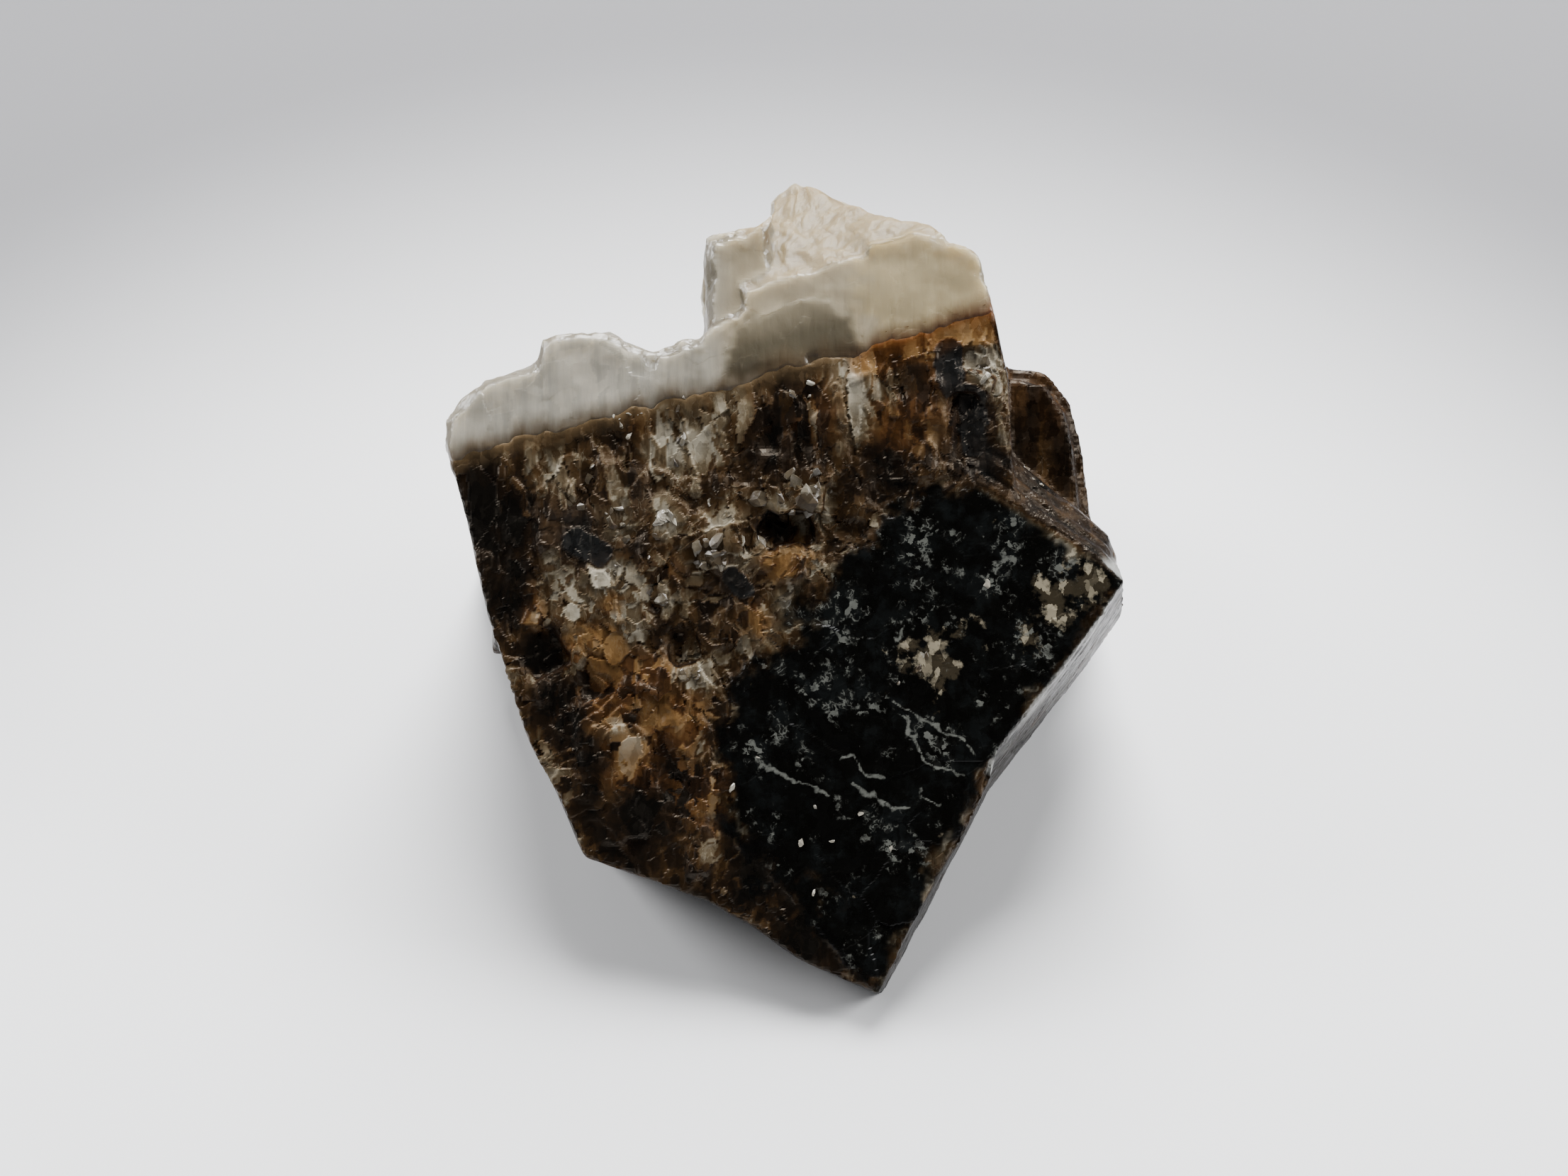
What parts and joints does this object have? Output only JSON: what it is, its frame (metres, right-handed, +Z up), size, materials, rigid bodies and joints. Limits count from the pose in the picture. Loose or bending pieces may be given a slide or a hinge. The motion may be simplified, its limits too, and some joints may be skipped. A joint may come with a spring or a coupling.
{
  "type": "tremolite specimen",
  "caption": "Wedge-shaped block of grown-together crystals with a milky rim, a rusty brown body and a glossy black crystal, lying on its flat back facet.",
  "frame": {"origin": "bottom centre of the specimen, on the surface it lies on", "axes": "+Z up; -Y towards the pointed end, where the sloping front face comes down to the floor; +X to the viewer's right"},
  "size_m": [0.0584, 0.0648, 0.0426],
  "materials": {
    "tremolite": "glossy crystal faces, rough rusty breaks, milky rim"
  },
  "bodies": {
    "root": {"tremolite_specimen": "tremolite"}
  },
  "joints": []
}
